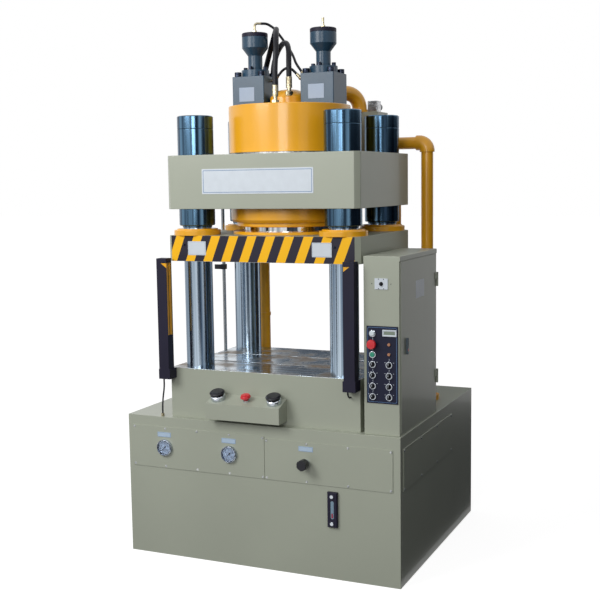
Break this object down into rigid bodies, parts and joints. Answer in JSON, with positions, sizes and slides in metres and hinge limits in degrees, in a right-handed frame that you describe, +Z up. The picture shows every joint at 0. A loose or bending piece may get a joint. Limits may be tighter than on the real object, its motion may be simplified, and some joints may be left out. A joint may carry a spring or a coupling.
{
  "type": "hydraulic press",
  "caption": "Floor-standing four-column hydraulic press with a guided slide, top cylinder, tank base, control cabinet, two-hand box and light guards.",
  "frame": {"origin": "on the floor under the middle of the base cabinet", "axes": "+Z up, -Y towards the operator, +X to the operator's right, where the electric cabinet stands"},
  "size_m": [1.2555, 1.1395, 2.2975],
  "materials": {
    "khaki_paint": "satin",
    "yellow_paint": "gloss",
    "blue_grey_paint": "satin",
    "blued_steel": "gloss",
    "bright_chrome": "polished",
    "plain_steel": "satin",
    "bronze": "satin",
    "cast_housing": "matte",
    "hose_rubber": "matte",
    "black_plastic": "matte",
    "red_plastic": "gloss",
    "green_plastic": "gloss",
    "gauge_alloy": "satin"
  },
  "bodies": {
    "press_frame": {"base_cabinet": "khaki_paint", "cover_plates": "khaki_paint", "cover_screws": "bright_chrome", "gauges": "bright_chrome", "level_gauge": "gauge_alloy", "motor_frame": "cast_housing", "pump_unit": "cast_housing", "bed": "khaki_paint", "columns": "bright_chrome", "column_nuts": "blued_steel", "crown": "khaki_paint", "cylinder": "yellow_paint", "cylinder_nut": "yellow_paint", "gland_ring": "yellow_paint", "filling_valve": "yellow_paint", "valve_blocks": "blue_grey_paint", "valve_bonnets": "blue_grey_paint", "valve_bolts": "blued_steel", "filling_pipe": "yellow_paint", "rear_manifold": "khaki_paint", "solenoid_valve": "bright_chrome", "oil_pipes": "yellow_paint", "end_fittings": "bright_chrome", "hoses": "hose_rubber", "curtain_cables": "hose_rubber", "electric_cabinet": "khaki_paint", "cabinet_hinges": "plain_steel", "cabinet_gear": "black_plastic", "control_panel": "black_plastic", "control_fittings": "bright_chrome", "two_hand_box": "khaki_paint", "curtain_guards": "black_plastic", "light_curtains": "yellow_paint", "stroke_rod": "plain_steel"},
    "slide_assembly": {"slide": "khaki_paint", "ram": "bright_chrome", "ram_flange": "yellow_paint", "guide_flanges": "yellow_paint", "guide_bushes": "bronze", "slide_screws": "blued_steel"},
    "cabinet_door": {"cabinet_door": "khaki_paint"},
    "door_handle": {"door_handle": "black_plastic"},
    "left_palm_button": {"left_palm_button": "black_plastic"},
    "right_palm_button": {"right_palm_button": "black_plastic"},
    "desk_stop_button": {"desk_stop_button": "red_plastic"},
    "panel_stop_button": {"panel_stop_button": "red_plastic"},
    "start_button": {"start_button": "green_plastic"},
    "main_switch_knob": {"main_switch_knob": "black_plastic"},
    "pressure_knob": {"pressure_knob": "black_plastic"},
    "left_gauge_pointer": {"left_gauge_pointer": "black_plastic"},
    "right_gauge_pointer": {"right_gauge_pointer": "black_plastic"},
    "drive_shaft": {"drive_shaft": "plain_steel"},
    "selector_knob_1": {"selector_knob_1": "black_plastic"},
    "selector_knob_2": {"selector_knob_2": "black_plastic"},
    "selector_knob_3": {"selector_knob_3": "black_plastic"},
    "selector_knob_4": {"selector_knob_4": "black_plastic"},
    "selector_knob_5": {"selector_knob_5": "black_plastic"},
    "selector_knob_6": {"selector_knob_6": "black_plastic"},
    "selector_knob_7": {"selector_knob_7": "black_plastic"},
    "selector_knob_8": {"selector_knob_8": "black_plastic"}
  },
  "joints": [
    {"name": "slide_stroke", "type": "slide", "parent": "press_frame", "child": "slide_assembly", "axis": [0, 0, -1], "range_m": [0, 0.35]},
    {"name": "cabinet_door_swing", "type": "hinge", "parent": "press_frame", "child": "cabinet_door", "pos_m": [0.6228, -0.033, 0], "axis": [0, 0, 1], "range_deg": [0, 110]},
    {"name": "door_handle_turn", "type": "hinge", "parent": "cabinet_door", "child": "door_handle", "pos_m": [0.6165, -0.4435, 0.98], "axis": [1, 0, 0], "range_deg": [0, 90]},
    {"name": "left_palm_press", "type": "slide", "parent": "press_frame", "child": "left_palm_button", "axis": [0, 0.3216, -0.9469], "range_m": [0, 0.004], "stiffness_N_per_m": 1500},
    {"name": "right_palm_press", "type": "slide", "parent": "press_frame", "child": "right_palm_button", "axis": [0, 0.3216, -0.9469], "range_m": [0, 0.004], "stiffness_N_per_m": 1500},
    {"name": "desk_stop_press", "type": "slide", "parent": "press_frame", "child": "desk_stop_button", "axis": [0, 0.3216, -0.9469], "range_m": [0, 0.005]},
    {"name": "panel_stop_press", "type": "slide", "parent": "press_frame", "child": "panel_stop_button", "axis": [0, 1, 0], "range_m": [0, 0.005]},
    {"name": "start_press", "type": "slide", "parent": "press_frame", "child": "start_button", "axis": [0, 1, 0], "range_m": [0, 0.003], "stiffness_N_per_m": 600},
    {"name": "main_switch_turn", "type": "hinge", "parent": "press_frame", "child": "main_switch_knob", "pos_m": [0.543, -0.522, 1.2125], "axis": [0, -1, 0], "range_deg": [-90, 0]},
    {"name": "pressure_turn", "type": "hinge", "parent": "press_frame", "child": "pressure_knob", "pos_m": [0.225, -0.54, 0.476], "axis": [0, -1, 0], "range_deg": [0, 720]},
    {"name": "left_gauge_turn", "type": "hinge", "parent": "press_frame", "child": "left_gauge_pointer", "pos_m": [-0.441, -0.54, 0.479], "axis": [0, 1, 0], "range_deg": [0, 270], "stiffness_Nm_per_rad": 0.002},
    {"name": "right_gauge_turn", "type": "hinge", "parent": "press_frame", "child": "right_gauge_pointer", "pos_m": [-0.128, -0.54, 0.479], "axis": [0, 1, 0], "range_deg": [0, 270], "stiffness_Nm_per_rad": 0.002},
    {"name": "pump_drive_spin", "type": "hinge", "parent": "press_frame", "child": "drive_shaft", "pos_m": [-0.31, 0, 0.198], "axis": [0, 1, 0], "continuous": true},
    {"name": "selector_1_turn", "type": "hinge", "parent": "press_frame", "child": "selector_knob_1", "pos_m": [0.507, -0.522, 0.895], "axis": [0, -1, 0], "range_deg": [-45, 45]},
    {"name": "selector_2_turn", "type": "hinge", "parent": "press_frame", "child": "selector_knob_2", "pos_m": [0.507, -0.522, 0.852], "axis": [0, -1, 0], "range_deg": [-45, 45]},
    {"name": "selector_3_turn", "type": "hinge", "parent": "press_frame", "child": "selector_knob_3", "pos_m": [0.507, -0.522, 0.809], "axis": [0, -1, 0], "range_deg": [-45, 45]},
    {"name": "selector_4_turn", "type": "hinge", "parent": "press_frame", "child": "selector_knob_4", "pos_m": [0.507, -0.522, 0.767], "axis": [0, -1, 0], "range_deg": [-45, 45]},
    {"name": "selector_5_turn", "type": "hinge", "parent": "press_frame", "child": "selector_knob_5", "pos_m": [0.575, -0.522, 0.895], "axis": [0, -1, 0], "range_deg": [-45, 45]},
    {"name": "selector_6_turn", "type": "hinge", "parent": "press_frame", "child": "selector_knob_6", "pos_m": [0.575, -0.522, 0.852], "axis": [0, -1, 0], "range_deg": [-45, 45]},
    {"name": "selector_7_turn", "type": "hinge", "parent": "press_frame", "child": "selector_knob_7", "pos_m": [0.575, -0.522, 0.809], "axis": [0, -1, 0], "range_deg": [-45, 45]},
    {"name": "selector_8_turn", "type": "hinge", "parent": "press_frame", "child": "selector_knob_8", "pos_m": [0.575, -0.522, 0.767], "axis": [0, -1, 0], "range_deg": [-45, 45]}
  ]
}
